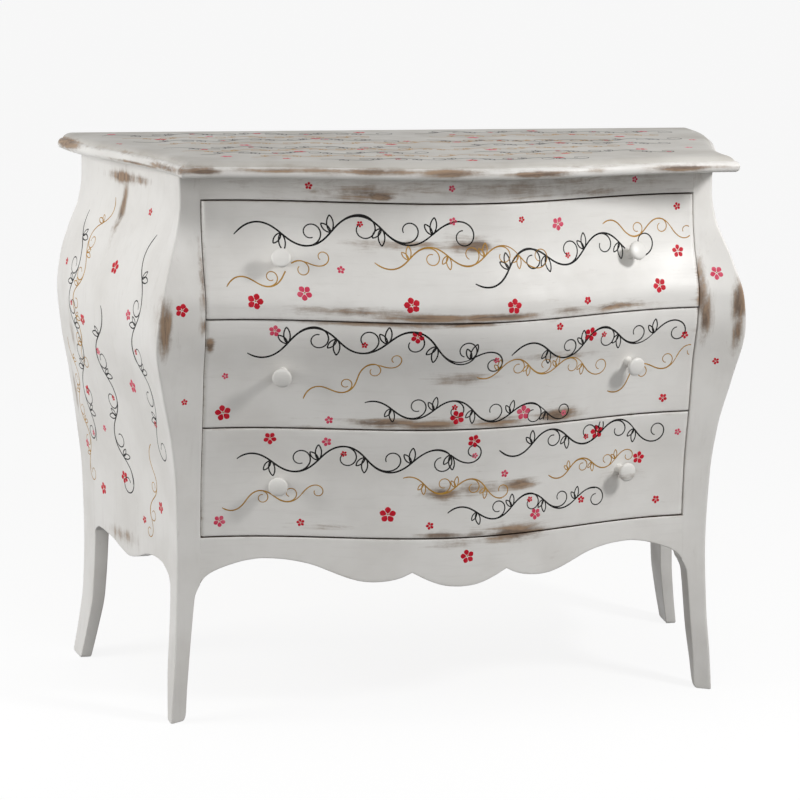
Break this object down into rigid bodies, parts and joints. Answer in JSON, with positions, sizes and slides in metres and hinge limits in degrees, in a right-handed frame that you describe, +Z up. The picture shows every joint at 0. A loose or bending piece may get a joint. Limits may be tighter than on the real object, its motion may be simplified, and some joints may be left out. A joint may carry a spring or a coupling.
{
  "type": "commode chest",
  "caption": "Painted wooden commode with a swelling, waving front, sliding drawers with round knobs, a moulded top and curved legs.",
  "frame": {"origin": "on the floor, under the middle of the outer box", "axes": "+X to the right seen from the front, +Y to the back, +Z up; the drawers open towards -Y"},
  "size_m": [1.1478, 0.583, 0.9],
  "materials": {
    "ivory_paint": "satin ivory paint, rubbed through to brown in places",
    "top_paint": "satin ivory paint, rubbed through at the edges",
    "knob_paint": "satin ivory paint",
    "raw_wood": "planed bare wood",
    "plywood": "bare plywood",
    "screw_steel": "plain steel"
  },
  "bodies": {
    "carcass": {"top_panel": "top_paint", "left_front_post": "ivory_paint", "right_front_post": "ivory_paint", "left_rear_post": "ivory_paint", "right_rear_post": "ivory_paint", "left_side_panel": "ivory_paint", "right_side_panel": "ivory_paint", "top_rail": "ivory_paint", "front_apron": "ivory_paint", "upper_divider": "raw_wood", "lower_divider": "raw_wood", "bottom_board": "plywood", "rear_top_rail": "raw_wood", "rear_upper_rail": "raw_wood", "rear_lower_rail": "raw_wood", "rear_bottom_rail": "raw_wood", "back_panel": "plywood", "left_upper_runner": "raw_wood", "right_upper_runner": "raw_wood", "left_lower_runner": "raw_wood", "right_lower_runner": "raw_wood", "left_bottom_guide": "raw_wood", "right_bottom_guide": "raw_wood", "left_kicker": "raw_wood", "right_kicker": "raw_wood"},
    "upper_drawer": {"upper_drawer_front": "ivory_paint", "upper_drawer_left_side": "raw_wood", "upper_drawer_right_side": "raw_wood", "upper_drawer_bottom": "plywood", "upper_drawer_back": "raw_wood", "upper_drawer_left_knob": "knob_paint", "upper_drawer_left_screw": "screw_steel", "upper_drawer_right_knob": "knob_paint", "upper_drawer_right_screw": "screw_steel"},
    "middle_drawer": {"middle_drawer_front": "ivory_paint", "middle_drawer_left_side": "raw_wood", "middle_drawer_right_side": "raw_wood", "middle_drawer_bottom": "plywood", "middle_drawer_back": "raw_wood", "middle_drawer_left_knob": "knob_paint", "middle_drawer_left_screw": "screw_steel", "middle_drawer_right_knob": "knob_paint", "middle_drawer_right_screw": "screw_steel"},
    "lower_drawer": {"lower_drawer_front": "ivory_paint", "lower_drawer_left_side": "raw_wood", "lower_drawer_right_side": "raw_wood", "lower_drawer_bottom": "plywood", "lower_drawer_back": "raw_wood", "lower_drawer_left_knob": "knob_paint", "lower_drawer_left_screw": "screw_steel", "lower_drawer_right_knob": "knob_paint", "lower_drawer_right_screw": "screw_steel"}
  },
  "joints": [
    {"name": "upper_drawer_slide", "type": "slide", "parent": "carcass", "child": "upper_drawer", "axis": [0, -1, 0], "range_m": [0, 0.3]},
    {"name": "middle_drawer_slide", "type": "slide", "parent": "carcass", "child": "middle_drawer", "axis": [0, -1, 0], "range_m": [0, 0.3]},
    {"name": "lower_drawer_slide", "type": "slide", "parent": "carcass", "child": "lower_drawer", "axis": [0, -1, 0], "range_m": [0, 0.3]}
  ]
}
